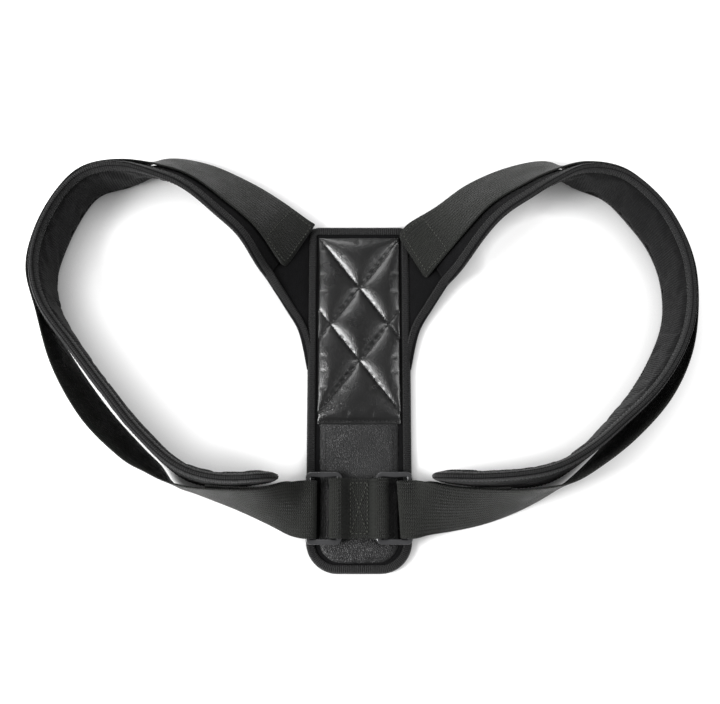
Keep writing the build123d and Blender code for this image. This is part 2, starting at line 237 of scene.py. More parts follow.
def finished(name, mesh):
    """Links a mesh as an object at the origin, smooth, with its faces pointing outwards."""
    work = bmesh.new()
    work.from_mesh(mesh)
    bmesh.ops.recalc_face_normals(work, faces=work.faces)
    work.to_mesh(mesh)
    work.free()
    mesh.polygons.foreach_set("use_smooth", np.ones(len(mesh.polygons), bool))
    piece = bpy.data.objects.new(name, mesh)
    bpy.context.scene.collection.objects.link(piece)
    return piece


def strip_profile(width, thick, across=12, crown=0.0):
    """A flat strip's closed outline (v, n): rounded edges, and a slight crown between."""
    edge = thick * 0.45
    v = np.linspace(edge, width - edge, across)
    top = thick / 2 + crown * (1 - (2 * v / width - 1) ** 2)
    low = -thick / 2 + crown * (1 - (2 * v / width - 1) ** 2)
    vs = np.concatenate([[0], v, [width], v[::-1]])
    ns = np.concatenate([[0], top, [0], low[::-1]])
    return vs, ns


def swept(name, origin, inward, normal, profile, wrap=False, flatter=1.0):
    """Carries a closed profile (q, n) along a path: point = origin + inward q + normal n."""
    q, n = profile
    flatter = np.broadcast_to(flatter, len(origin))[:, None, None]
    points = (
        origin[:, None]
        + inward[:, None] * np.asarray(q)[None, :, None]
        + normal[:, None] * np.asarray(n)[None, :, None] * flatter
    )
    return mesh_object(name, points, (wrap, True), capped=not wrap)


# %% [markdown]
# Stitches are real thread: a short bead, thicker in its middle, whose ends dip into the
# cloth. One template is set down at every step of a row.

# %% Rows of stitches
STITCH_RINGS = 5
STITCH_SIDES = 6


def stitches(name, rows, pitch=3.6 * MM, length=2.9 * MM, radius=0.4 * MM):
    """rows are (points, normals). A bead: radius times root(1 - a^2), sinking with a^4."""
    spots, ways, ups = [], [], []
    for points, normals in rows:
        s = lengths(points)
        at = np.arange(pitch / 2, s[-1], pitch)
        if not len(at):
            continue
        ahead = resampled(points, np.minimum(at + length / 2, s[-1]), s)
        behind = resampled(points, np.maximum(at - length / 2, 0), s)
        spots.append((ahead + behind) / 2)
        ways.append(unit(ahead - behind))
        ups.append(unit(resampled(normals, at, s)))
    spot, way, up = (np.vstack(x) for x in (spots, ways, ups))
    side = unit(np.cross(up, way))
    a = np.linspace(-1, 1, STITCH_RINGS)
    fat = radius * np.sqrt(np.maximum(1 - a**2, 0.1))
    turn = np.arange(STITCH_SIDES) * 2 * np.pi / STITCH_SIDES
    centre = way[:, None] * (a * length / 2)[None, :, None]
    centre = centre + up[:, None] * (-radius * 1.1 * a**4)[None, :, None]
    ring = side[:, None, None] * (np.cos(turn)[None, :] * fat[:, None])[None, :, :, None]
    ring = ring + up[:, None, None] * (np.sin(turn)[None, :] * fat[:, None])[None, :, :, None]
    points = (spot[:, None] + centre)[:, :, None] + ring
    count, size = len(spot), STITCH_RINGS * STITCH_SIDES
    i, j = (g.ravel() for g in np.meshgrid(range(STITCH_RINGS - 1), range(STITCH_SIDES), indexing="ij"))
    j1 = (j + 1) % STITCH_SIDES
    here, beyond = i * STITCH_SIDES, (i + 1) * STITCH_SIDES
    one = np.stack([here + j, beyond + j, beyond + j1, here + j1], 1)
    quads = (one[None] + (np.arange(count) * size)[:, None, None]).reshape(-1, 4).tolist()
    caps = np.stack([np.arange(STITCH_SIDES), np.arange(size - STITCH_SIDES, size)])
    ends = (caps[None] + (np.arange(count) * size)[:, None, None]).reshape(-1, STITCH_SIDES).tolist()
    mesh = bpy.data.meshes.new(name)
    mesh.from_pydata(points.reshape(-1, 3).tolist(), [], quads + ends)
    print(name, count, "stitches")
    return finished(name, mesh)


# %% [markdown]
# ## Materials
# Everything on the real brace is black, so only gloss, grain and weave tell the finishes
# apart. One helper adds a shader node; one turns sRGB hex into linear colour.

# %% Colour and node helpers
def linear(hex_colour):
    """sRGB to linear: c/12.92 below 0.04045, else ((c + 0.055)/1.055) to the 2.4."""
    c = np.array([int(hex_colour[k : k + 2], 16) / 255 for k in (1, 3, 5)])
    return (*np.where(c <= 0.04045, c / 12.92, ((c + 0.055) / 1.055) ** 2.4), 1.0)


def add(tree, kind, inputs=(), **settings):
    """One node with its settings. An input is a value, an output, or a node's first output."""
    node = tree.nodes.new("ShaderNode" + kind)
    for key, value in settings.items():
        setattr(node, key, value)
    for socket, value in dict(inputs).items():
        if isinstance(value, bpy.types.Node):
            value = value.outputs[0]
        if isinstance(value, bpy.types.NodeSocket):
            tree.links.new(value, node.inputs[socket])
        else:
            node.inputs[socket].default_value = value
    return node


def shader(name, colour, roughness, normal, **constants):
    """A Principled surface: colour, roughness and glow may be linked, the rest are constants.

    Painted shade: where no glow is given, the colour is darkened in slots and in folded cloth, multiplied by
    the open share of the sky.
    """
    material = bpy.data.materials.new(name)
    material.use_nodes = True
    tree = material.node_tree
    tree.nodes.clear()
    built = colour(tree)
    inputs = {"Base Color": built["colour"], "Roughness": built.get("roughness", roughness)}
    if "glow" in built:
        inputs["Emission Strength"] = built["glow"]
    else:
        # painted shade: base colour times ambient occlusion within 9 mm, dark in slots and creases
        painted_fold_shade = {"Color": built["colour"], "Distance": 9 * MM}
        inputs["Base Color"] = add(tree, "AmbientOcclusion", painted_fold_shade, samples=8).outputs["Color"]
    if "height" in built:
        strength, distance = normal
        bump = add(
            tree,
            "Bump",
            {"Strength": strength, "Distance": distance, "Height": built["height"]},
        )
        inputs["Normal"] = bump.outputs[0]
    inputs.update({k.replace("_", " "): v for k, v in constants.items()})
    surface = add(tree, "BsdfPrincipled", inputs)
    out = add(tree, "OutputMaterial")
    tree.links.new(surface.outputs[0], out.inputs[0])
    print("finish", name)
    return material


def map_axes(tree):
    """The piece's own map, in millimetres: u along it, v across it."""
    split = add(tree, "SeparateXYZ", {0: add(tree, "UVMap", uv_map="UVMap")})
    return split.outputs[0], split.outputs[1]


# %% [markdown]
# **Polyurethane leatherette**, embossed with a fine pebble grain. The quilted sheet is
# glossy: dark base, low roughness, a thin clear top coat. The patch is the satin kind. The
# grain is 0.8 mm on the real sheet and is drawn at 1.5 mm so that it shows.

# %% Leatherette
def leatherette_nodes(grain_mm, dark, light, rough_low, rough_high):
    def build(tree):
        spot = add(tree, "TexCoord").outputs["Object"]
        cells = add(
            tree, "TexVoronoi", {"Vector": spot, "Scale": 1 / (grain_mm * MM)}, feature="DISTANCE_TO_EDGE",
        ).outputs["Distance"]
        steep = add(tree, "Math", {0: cells, 1: 3.2}, operation="MULTIPLY")
        pebble = add(tree, "Math", {0: steep, 1: 1.0}, operation="MINIMUM")
        cloud = add(tree, "TexNoise", {"Vector": spot, "Scale": 45.0, "Detail": 5.0})
        fine = add(tree, "TexNoise", {"Vector": spot, "Scale": 900.0, "Detail": 3.0})
        grain = add(tree, "Math", {0: fine, 1: 0.5, 2: pebble}, operation="MULTIPLY_ADD")
        height = add(tree, "Math", {0: cloud, 1: 0.8, 2: grain}, operation="MULTIPLY_ADD")
        rough = add(tree, "MapRange", {0: cloud, 1: 0.3, 2: 0.7, 3: rough_low, 4: rough_high})
        speckle = add(tree, "Math", {0: fine, 1: 1.6, 2: -0.8}, operation="MULTIPLY_ADD")
        share = add(tree, "Math", {0: cloud, 1: speckle}, operation="ADD")
        ends = {"Factor": share, "A": linear(dark), "B": linear(light)}
        colour = add(tree, "Mix", ends, data_type="RGBA").outputs["Result"]
        return {"colour": colour, "height": height, "roughness": rough}
    return build


GLOSSY_LEATHERETTE = shader(
    "glossy_leatherette", leatherette_nodes(1.5, "#020202", "#080809", 0.25, 0.38), 0.34,
    (0.34, 0.35 * MM), IOR=1.5, Coat_Weight=0.65, Coat_Roughness=0.25,
)
SATIN_LEATHERETTE = shader(
    "satin_leatherette", leatherette_nodes(1.4, "#0a0a0b", "#19191a", 0.36, 0.55), 0.5,
    (0.6, 0.4 * MM), IOR=1.45, Specular_IOR_Level=0.5,
)


# %% [markdown]
# **Brushed loop pile** is knitted nylon whose surface is brushed into fuzz: nearly black,
# fully rough, with a soft sheen at grazing angles and a mottled nap.
# **Knitted lining** is its flatter neighbour on the skin side, with a fine cross rib.

# %% Brushed fabric and knitted lining
def brushed_nodes(tree):
    spot = add(tree, "TexCoord").outputs["Object"]
    nap = add(tree, "TexNoise", {"Vector": spot, "Scale": 110.0, "Detail": 6.0, "Roughness": 0.7})
    fuzz = add(tree, "TexNoise", {"Vector": spot, "Scale": 1500.0, "Detail": 4.0})
    height = add(tree, "Math", {0: nap, 1: 1.4, 2: fuzz}, operation="MULTIPLY_ADD")
    ends = {"Factor": nap, "A": linear("#040404"), "B": linear("#101012")}
    return {"colour": add(tree, "Mix", ends, data_type="RGBA").outputs["Result"], "height": height}


BRUSHED_FABRIC = shader(
    "brushed_loop_pile", brushed_nodes, 0.95, (0.8, 0.8 * MM),
    Sheen_Weight=0.05, Sheen_Roughness=0.5, Specular_IOR_Level=0.12,
)


def lining_nodes(tree):
    """A fine cross rib every 2.2 mm along the band, under soft knitted fuzz."""
    u = map_axes(tree)[0]
    spot = add(tree, "TexCoord").outputs["Object"]
    nap = add(tree, "TexNoise", {"Vector": spot, "Scale": 160.0, "Detail": 5.0})
    drift = add(tree, "Math", {0: nap, 1: 1.6, 2: u}, operation="MULTIPLY_ADD")
    turns = add(tree, "Math", {0: drift, 1: 2 * math.pi / 2.2}, operation="MULTIPLY")
    rib = add(tree, "Math", {0: turns}, operation="SINE")
    height = add(tree, "Math", {0: nap, 1: 2.4, 2: rib}, operation="MULTIPLY_ADD")
    share = add(tree, "Math", {0: rib, 1: 0.12, 2: nap}, operation="MULTIPLY_ADD")
    ends = {"Factor": share, "A": linear("#050505"), "B": linear("#111112")}
    return {"colour": add(tree, "Mix", ends, data_type="RGBA").outputs["Result"], "height": height}


KNITTED_LINING = shader(
    "knitted_lining", lining_nodes, 0.9, (0.6, 0.35 * MM),
    Sheen_Weight=0.05, Sheen_Roughness=0.45, Specular_IOR_Level=0.15,
)


# %% [markdown]
# **Binding tape** is grosgrain: fat weft ribs run across the tape, about 1.1 mm apart and
# drawn at 1.7 mm, so the edge that faces the light shows a row of bright ticks.

# %% Binding tape
def tape_nodes(tree):
    u, v = map_axes(tree)
    along = add(tree, "Math", {0: u, 1: 2 * math.pi / 1.7}, operation="MULTIPLY")
    across = add(tree, "Math", {0: v, 1: 2 * math.pi / 0.8}, operation="MULTIPLY")
    rib = add(tree, "Math", {0: along}, operation="SINE")
    thread = add(tree, "Math", {0: across}, operation="SINE")
    height = add(tree, "Math", {0: thread, 1: 0.25, 2: rib}, operation="MULTIPLY_ADD")
    share = add(tree, "Math", {0: rib, 1: 0.5, 2: 0.5}, operation="MULTIPLY_ADD")
    ends = {"Factor": share, "A": linear("#050505"), "B": linear("#19191a")}
    return {"colour": add(tree, "Mix", ends, data_type="RGBA").outputs["Result"], "height": height}


BINDING_TAPE = shader(
    "grosgrain_tape", tape_nodes, 0.62, (0.9, 0.3 * MM),
    Sheen_Weight=0.05, Specular_IOR_Level=0.3,
)


# %% [markdown]
# **Nylon webbing**: warp ribs lie across the strap in a close zigzag, so it looks finely
# barred, with a grey-green cast and a weak silky gloss along the ribs. The real ribs are
# under 1 mm apart and are drawn at 1.5 mm.

# %% Webbing and hook tape
def webbing_nodes(tree):
    u, v = map_axes(tree)
    zigzag = add(tree, "Math", {0: v, 1: 1.5}, operation="PINGPONG")
    along = add(tree, "Math", {0: zigzag, 1: 0.55, 2: u}, operation="MULTIPLY_ADD")
    rib_turns = add(tree, "Math", {0: along, 1: 2 * math.pi / 1.5}, operation="MULTIPLY")
    cord_turns = add(tree, "Math", {0: v, 1: 2 * math.pi / 3.0}, operation="MULTIPLY")
    rib = add(tree, "Math", {0: rib_turns}, operation="SINE")
    cord = add(tree, "Math", {0: cord_turns}, operation="SINE")
    spot = add(tree, "TexCoord").outputs["Object"]
    wear = add(tree, "TexNoise", {"Vector": spot, "Scale": 60.0, "Detail": 5.0})
    height = add(tree, "Math", {0: cord, 1: 0.5, 2: rib}, operation="MULTIPLY_ADD")
    share = add(tree, "Math", {0: rib, 1: 0.4, 2: wear}, operation="MULTIPLY_ADD")
    rough = add(tree, "MapRange", {0: wear, 1: 0.3, 2: 0.7, 3: 0.5, 4: 0.68})
    ends = {"Factor": share, "A": linear("#080908"), "B": linear("#1b1d18")}
    colour = add(tree, "Mix", ends, data_type="RGBA").outputs["Result"]
    return {"colour": colour, "height": height, "roughness": rough}


WEBBING = shader(
    "nylon_webbing", webbing_nodes, 0.6, (0.9, 0.3 * MM),
    Sheen_Weight=0.04, Specular_IOR_Level=0.28,
)


def hook_nodes(tree):
    spot = add(tree, "TexCoord").outputs["Object"]
    dots = add(tree, "TexVoronoi", {"Vector": spot, "Scale": 700.0})
    ends = {"Factor": dots, "A": linear("#151515"), "B": linear("#060606")}
    return {"colour": add(tree, "Mix", ends, data_type="RGBA").outputs["Result"], "height": dots}


HOOK_TAPE = shader("hook_tape", hook_nodes, 0.7, (0.8, 0.5 * MM), Specular_IOR_Level=0.4)


# %% [markdown]
# **Coated zinc ring**: die cast, sprayed satin black. A dielectric coat over it gives a
# clean, slightly soft highlight; faint orange-peel keeps it from looking like plastic.
# ** Thread** is bonded polyester, matt, twisted: near black on the leatherette and the
# tape. On the webbing its colour is painted a shade paler, a painted highlight that makes the raised stitches
# show.

# %% Ring and thread
def ring_nodes(tree):
    spot = add(tree, "TexCoord").outputs["Object"]
    peel = add(tree, "TexNoise", {"Vector": spot, "Scale": 420.0, "Detail": 3.0})
    wear = add(tree, "TexNoise", {"Vector": spot, "Scale": 80.0, "Detail": 6.0})
    rough = add(tree, "MapRange", {0: wear, 1: 0.35, 2: 0.7, 3: 0.24, 4: 0.38})
    ends = {"Factor": wear, "A": linear("#262627"), "B": linear("#3c3c3e")}
    colour = add(tree, "Mix", ends, data_type="RGBA").outputs["Result"]
    return {"colour": colour, "height": peel, "roughness": rough}


RING_COAT = shader(
    "satin_black_coat", ring_nodes, 0.3, (0.08, 0.1 * MM), Coat_Weight=0.4, Coat_Roughness=0.2,
)


def thread_nodes(dark, light):
    def build(tree):
        spot = add(tree, "TexCoord").outputs["Object"]
        twist = add(tree, "TexNoise", {"Vector": spot, "Scale": 1800.0, "Detail": 2.0})
        ends = {"Factor": twist, "A": linear(dark), "B": linear(light)}
        return {"colour": add(tree, "Mix", ends, data_type="RGBA").outputs["Result"], "height": twist}
    return build


THREAD = shader(
    "bonded_thread", thread_nodes("#070707", "#161617"), 0.55, (0.3, 0.1 * MM), Specular_IOR_Level=0.4,
)
# painted highlight: a paler thread colour stands in for the light caught by stitches on the webbing
HIGHLIGHT_PAINTED_THREAD = shader(
    "webbing_thread", thread_nodes("#262723", "#4c4e47"), 0.6, (0.3, 0.1 * MM), Specular_IOR_Level=0.4,
)


# %% [markdown]
# A panel piece gets its finish, its body and the CAD nodes that it stands for in one call; a loop piece gets
# its finish, its hidden nodes and its place baked in.

# %% Setting a piece
def settle(piece, material, body, replaces=()):
    piece.data.materials.clear()
    piece.data.materials.append(material)
    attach(piece, body)
    if replaces:
        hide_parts(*replaces)
    print(piece.name, len(piece.data.polygons), "faces on", body)
    return piece


def settle_on_loop(piece, material, replaces=()):
    """A loop's soft piece: its finish is set, the CAD nodes it stands for are hidden, and its place is baked
    into its mesh.
    """
    piece.data.materials.clear()
    piece.data.materials.append(material)
    if replaces:
        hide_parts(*replaces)
    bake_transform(piece)
    return piece


# %% [markdown]
# ## The back panel
# Board and lining are flat; the cover is brushed fabric pulled over the board, and the
# tape runs round the whole outline. The outline is a rectangle with two large corners.

# %% Panel outline
def panel_outline(inset=0.0, step=1.5 * MM):
    """Anticlockwise points: straight sides joined by quarter circles, inset all round."""
    low, high = PANEL_LOW[:2] + inset, PANEL_HIGH[:2] - inset
    big, small = max(PANEL_END_R - inset, 1 * MM), max(9 * MM - inset, 0.5 * MM)
    corners = [
        (low[0] + big, low[1] + big, big, 180), (high[0] - big, low[1] + big, big, 270),
        (high[0] - small, high[1] - small, small, 0), (low[0] + small, high[1] - small, small, 90),
    ]
    path = []
    for x, y, r, start in corners:
        turn = np.radians(start + np.linspace(0, 90, 13))
        path.append(np.stack([x + r * np.cos(turn), y + r * np.sin(turn)], 1))
    path = np.vstack(path + [path[0][:1]])
    at = np.linspace(0, lengths(path)[-1], int(lengths(path)[-1] / step), endpoint=False)
    return resampled(path, at)


def inward_of(path):
    """The horizontal way in from a closed anticlockwise outline."""
    along = np.roll(path, -1, axis=0) - np.roll(path, 1, axis=0)
    return unit(np.stack([-along[:, 1], along[:, 0], 0 * along[:, 0]], 1))


def level(path, z):
    return np.column_stack([path, np.full(len(path), z)])


# %% [markdown]
# The cover and the lining are cut sheets, so each is a grid from the spine's line out to
# the outline. The binding is a tape folded over their edge: one profile carried round the
# outline, which keeps its width at the corners.

# %% Cover, lining and binding
def plate(name, outline, z_of, z_low):
    """A closed plate: rings shrink from the outline to its middle line, over and under."""
    shares = np.concatenate([[1.0], np.linspace(1, 0.02, 16)])
    spine_y = np.clip(outline[:, 1], PANEL_LOW[1] + 30 * MM, PANEL_HIGH[1] - 30 * MM)
    spine = np.column_stack([outline[:, 0] * 0, spine_y])
    rings = []
    for k, share in enumerate(shares):
        flat = spine + (outline - spine) * share
        z = z_low if k == 0 else z_of(share)
        rings.append(level(flat, z))
    points = np.stack(rings)
    return mesh_object(name, points, (False, True), capped=True)


def cover_height(share):
    """Brushed cover: level over the board, easing down to the tape at the edge."""
    return COVER_HIGH[2] + 0.5 * MM * (1 - share**6) - 0.3 * MM


cover = plate("panel_outer_cover", panel_outline(1.2 * MM), cover_height, COVER_LOW[2])
settle(cover, BRUSHED_FABRIC, "back_panel", ["panel_cover"])


def lining_height(share):
    """Knitted lining under the board: flat on the surface, soft at the edge."""
    return 0.1 * MM + 0.5 * MM * share**8


lining = plate("panel_skin_lining", panel_outline(5.5 * MM), lining_height, COVER_LOW[2] - 1 * MM)
settle(lining, KNITTED_LINING, "back_panel", ["panel_lining"])


def fold_profile(width, top, low, thick):
    """Tape folded over an edge, as a closed (q, n) outline: round outside, hollow inside."""
    mid, half = (top + low) / 2, (top - low) / 2
    turn = np.radians(np.linspace(90, 270, 9))
    nose = half * 0.75
    flat_q = [width, width * 0.8, width * 0.5]
    outer_q = np.concatenate([flat_q, nose + nose * np.cos(turn), flat_q[::-1]])
    outer_n = np.concatenate([[half * 0.93, half, half], half * np.sin(turn), [-half, -half, -half * 0.93]])
    inner_q = np.array([width, width * 0.5, thick * 1.5, thick * 1.5, width * 0.5, width])
    inner_n = np.array([-1, -1, -0.8, 0.8, 1, 1]) * (half - thick)
    return np.concatenate([outer_q, inner_q]), mid + np.concatenate([outer_n, inner_n])


rim = panel_outline()
binding = swept(
    "panel_edge_tape", level(rim, 0), inward_of(rim), np.tile([0, 0, 1.0], (len(rim), 1)),
    fold_profile(TAPE_W, PANEL_HIGH[2] + 0.3 * MM, 0.0, TAPE_T), wrap=True,
)
settle(binding, BINDING_TAPE, "back_panel", ["panel_binding"])
row = panel_outline(TAPE_W - 1.2 * MM)
row = np.vstack([row, row[:1]])
panel_rows = [(level(row, PANEL_HIGH[2] + 0.25 * MM), np.tile([0, 0, 1.0], (len(row), 1)))]
panel_thread = stitches("panel_tape_stitching", panel_rows, 3.0 * MM, 2.3 * MM, 0.3 * MM)
settle(panel_thread, THREAD, "back_panel")

# %% [markdown]
# ## The quilted pad
# A leatherette sheet over wadding, sewn down along crossing lines. Each puff rises with
# the distance to the nearest seam. A cloth simulation then blows the sheet up between the
# sewn lines, which gives the small puckers that a formula can't.

# %% Quilt lines and heights
CROSSINGS = [PANEL_HIGH[1] - 54.5 * MM, PANEL_HIGH[1] - 117.5 * MM]
QUILT_SLOPE = 1.27


def seam_lines():
    """(start, end) of each diamond line: y = crossing +- slope x, cut at the pad's edge."""
    half = QUILT_HIGH[0] - 0.5 * MM
    lines = []
    for middle in CROSSINGS:
        low = max(-half, (QUILT_LOW[1] + 3 * MM - middle) / QUILT_SLOPE)
        high = min(half, (QUILT_HIGH[1] - 1 * MM - middle) / QUILT_SLOPE)
        for way in (1, -1):
            ends = [(way * x, middle + QUILT_SLOPE * x) for x in (low, high)]
            lines.append(np.array(ends))
    return lines


def seam_distance(x, y):
    """The distance to the nearest diamond line, edge line or bottom stitch line."""
    d = np.full(x.shape, 1.0)
    for (x0, y0), (x1, y1) in seam_lines():
        dx, dy = x1 - x0, y1 - y0
        t = np.clip(((x - x0) * dx + (y - y0) * dy) / (dx * dx + dy * dy), 0, 1)
        d = np.minimum(d, np.hypot(x - x0 - t * dx, y - y0 - t * dy))
    edges = (x - QUILT_LOW[0], QUILT_HIGH[0] - x, QUILT_HIGH[1] - y, y - QUILT_LOW[1] - 3 * MM)
    for edge in edges:
        d = np.minimum(d, np.abs(edge) + (edge < 0) * 0)
    return d


QUILT_STEP = 1.15 * MM
quilt_x = np.linspace(QUILT_LOW[0], QUILT_HIGH[0], int((QUILT_HIGH[0] - QUILT_LOW[0]) / QUILT_STEP))
quilt_y = np.linspace(QUILT_LOW[1], QUILT_HIGH[1], int((QUILT_HIGH[1] - QUILT_LOW[1]) / QUILT_STEP))
grid_x, grid_y = np.meshgrid(quilt_x, quilt_y, indexing="ij")
grid_d = seam_distance(grid_x, grid_y)
held = grid_d < 0.75 * MM
SEAM_Z = QUILT_LOW[2] + 0.5 * MM
PUFF = QUILT_HIGH[2] - SEAM_Z


def inflated(held, rounds=700):
    """A membrane blown up between its seams: each point is the mean of its four neighbours + 1."""
    rise = np.zeros(held.shape)
    for _ in range(rounds):
        around = rise[:-2, 1:-1] + rise[2:, 1:-1] + rise[1:-1, :-2] + rise[1:-1, 2:]
        rise[1:-1, 1:-1] = np.where(held[1:-1, 1:-1], 0, around / 4 + 1)
    return rise / rise.max()


grid_z = SEAM_Z + 1.25 * PUFF * inflated(held) ** 0.55

# %% [markdown]
# Leatherette over wadding takes the shape of a membrane under pressure. The grid starts
# near that shape and Blender's cloth solver settles it, at ten times the size because the
# solver is steadier there. Points near a seam are held, and how far a point moves is capped.

# %% Blow up the sheet between its seams
SIM_SCALE = 10.0
SIM_FRAMES = 22


def blown_up(x, y, z, held, growth, push, stiff):
    """Cloth at ten times the size: held points stay, the rest is pushed up and grows."""
    points = np.stack([x, y, z], axis=-1)
    sheet = mesh_object("sim_sheet", points * SIM_SCALE)
    group = sheet.vertex_groups.new(name="held")
    group.add(np.flatnonzero(held.ravel()).tolist(), 1.0, "REPLACE")
    cloth = sheet.modifiers.new("cloth", "CLOTH")
    cloth.settings.quality = 6
    cloth.settings.mass = 0.2
    cloth.settings.vertex_group_mass = "held"
    cloth.settings.tension_stiffness = 25
    cloth.settings.compression_stiffness = 25
    cloth.settings.shear_stiffness = 12
    cloth.settings.bending_stiffness = stiff
    cloth.settings.air_damping = 4
    cloth.settings.effector_weights.gravity = 0
    cloth.settings.use_pressure = True
    cloth.settings.uniform_pressure_force = push
    cloth.settings.shrink_min = -growth
    cloth.collision_settings.use_collision = False
    cloth.collision_settings.use_self_collision = False
    for number in range(1, SIM_FRAMES + 1):
        bpy.context.scene.frame_set(number)
    shown = sheet.evaluated_get(bpy.context.evaluated_depsgraph_get())
    moved = np.empty(len(sheet.data.vertices) * 3)
    shown.data.vertices.foreach_get("co", moved)
    bpy.context.scene.frame_set(1)
    mesh = sheet.data
    bpy.data.objects.remove(sheet)
    bpy.data.meshes.remove(mesh)
    return moved.reshape(points.shape) / SIM_SCALE


quilt_points = np.stack([grid_x, grid_y, grid_z], axis=-1)
blown = blown_up(grid_x, grid_y, grid_z, held, 0.003, 0.5, 8.0)
shift = np.nan_to_num(blown - quilt_points)
size = np.linalg.norm(shift, axis=-1, keepdims=True)
cap = 0.9 * MM
quilt_points = quilt_points + shift * np.minimum(1, cap / np.maximum(size, 1e-9))
print("quilt moved by up to", round(float(size.max() / MM), 2), "mm")

# %% [markdown]
# The sheet's edge turns down to the panel, so one more row is dropped all round it. The
# thread is a row of short capsules that read their height from the settled sheet.

# %% The quilted pad's mesh and thread
def with_skirt(points, z):
    """Adds a border row all round, dropped to z, so the sheet's edge is turned down."""
    framed = np.pad(points, ((1, 1), (1, 1), (0, 0)), mode="edge")
    framed[0, :, 2] = framed[-1, :, 2] = z
    framed[:, 0, 2] = framed[:, -1, 2] = z
    return framed


quilt = mesh_object("quilted_leatherette_pad", with_skirt(quilt_points, QUILT_LOW[2] - 0.4 * MM))
thick = quilt.modifiers.new("sheet thickness", "SOLIDIFY")
thick.thickness = 0.5 * MM
settle(quilt, GLOSSY_LEATHERETTE, "back_panel", ["quilted_pad"])


def quilt_height(x, y):
    """The pad's height at any spot, from the nearest grid point."""
    i = np.clip(np.searchsorted(quilt_x, x), 0, len(quilt_x) - 1)
    j = np.clip(np.searchsorted(quilt_y, y), 0, len(quilt_y) - 1)
    return quilt_points[i, j, 2]


def quilt_row(start, end):
    t = np.linspace(0, 1, 120)[:, None]
    flat = np.asarray(start) * (1 - t) + np.asarray(end) * t
    z = quilt_height(flat[:, 0], flat[:, 1]) + 0.25 * MM
    return np.column_stack([flat, z]), np.tile([0, 0, 1.0], (len(flat), 1))


quilt_rows = [quilt_row(a, b) for a, b in seam_lines()]
bottom_y = QUILT_LOW[1] + 3 * MM
quilt_rows.append(quilt_row((QUILT_LOW[0] + 1 * MM, bottom_y), (QUILT_HIGH[0] - 1 * MM, bottom_y)))
quilt_thread = stitches("quilting_thread", quilt_rows, 3.3 * MM, 2.4 * MM, 0.4 * MM)
settle(quilt_thread, THREAD, "back_panel", ["quilt_stitching"])

# %% [markdown]
# ## The smooth patch
# Satin leatherette, hardly padded. It lies under the tab and ends in two round corners.

# %% Smooth patch
def patch_surface():
    """Rows along the spine; each row's half width follows the rounded waist end."""
    y = np.linspace(PATCH_LOW[1], PATCH_HIGH[1] + 1.5 * MM, 76)
    half, r = PATCH_HIGH[0] + 1.6 * MM, 19 * MM
    rise = np.clip(r - (y - PATCH_LOW[1]), 0, r)
    width = half - (r - np.sqrt(np.maximum(r * r - rise**2, 0)))
    t = np.linspace(-1, 1, 41)
    x = width[:, None] * t[None]
    edge = np.minimum((1 - np.abs(t))[None] * width[:, None], (y - PATCH_LOW[1])[:, None])
    rows = y[:, None]
    beyond = np.maximum(TAB_LOW[1] - rows, rows - TAB_HIGH[1])
    free = 1 - np.exp(-np.clip(beyond, 0, None) / (5 * MM))
    z = PATCH_LOW[2] + 0.25 * MM + (0.95 + 1.2 * free) * MM * (1 - np.exp(-edge / ((1.6 + 2.6 * free) * MM)))
    z = z + free * 0.3 * MM * np.sin(x / (7 * MM) + 2) * np.sin(rows / (8 * MM))
    waist = np.exp(-(rows - PATCH_LOW[1]) / (8 * MM))
    z = z + 0.22 * MM * waist * np.sin(x / (1.7 * MM) + 1.3 * np.sin(rows / (5 * MM)))
    return np.stack([x, np.broadcast_to(y[:, None], x.shape), z], axis=-1)


patch_points = patch_surface()
patch = mesh_object("smooth_patch", with_skirt(patch_points, PATCH_LOW[2] - 0.4 * MM))
thick = patch.modifiers.new("sheet thickness", "SOLIDIFY")
thick.thickness = 0.5 * MM
settle(patch, SATIN_LEATHERETTE, "back_panel", ["lower_patch"])
patch_rows = []
for column in (3, -4):
    path = patch_points[6:-3, column] + [0, 0, 0.2 * MM]
    patch_rows.append((path, np.tile([0, 0, 1.0], (len(path), 1))))
waist_row = patch_points[3, 4:-4] + [0, 0, 0.2 * MM]
patch_rows.append((waist_row, np.tile([0, 0, 1.0], (len(waist_row), 1))))
patch_thread = stitches("patch_thread", patch_rows, 3.0 * MM, 2.2 * MM, 0.3 * MM)
settle(patch_thread, THREAD, "back_panel", ["patch_stitching"])

# %% [markdown]
# ## The tab and its rings
# One length of webbing folded on itself: it goes round both rings' inner bars and is sewn
# flat in the middle with a box and a cross.

# %% Ring tab
TAB_REACH = 7.4 * MM


def tab_loop(points=160):
    """The tab's middle line in x and z: flat below, round each bar, pressed down between."""
    r = EYE_R
    low_z = RING_Z - r
    pressed = TAB_LOW[2] + 1.5 * WEB_T + 0.3 * MM
    x = np.linspace(-1, 1, 61)
    over = np.clip((np.abs(x) * TAB_BAR_X - 7.5 * MM) / (TAB_BAR_X - 7.5 * MM), 0, 1)
    over = over**2 * (3 - 2 * over)
    top = np.column_stack([x * TAB_BAR_X, pressed + (RING_Z + r - pressed) * over])
    turn = np.radians(np.linspace(90, -90, 17)[1:-1])
    right = np.column_stack([TAB_BAR_X + TAB_REACH * np.cos(turn), RING_Z + r * np.sin(turn)])
    bottom = np.column_stack([np.linspace(TAB_BAR_X, -TAB_BAR_X, 21), np.full(21, low_z)])
    left = np.column_stack([-TAB_BAR_X - TAB_REACH * np.cos(turn), RING_Z - r * np.sin(turn)])
    loop = np.vstack([top, right, bottom, left, top[:1]])
    at = np.linspace(0, lengths(loop)[-1], points, endpoint=False)
    return resampled(loop, at)


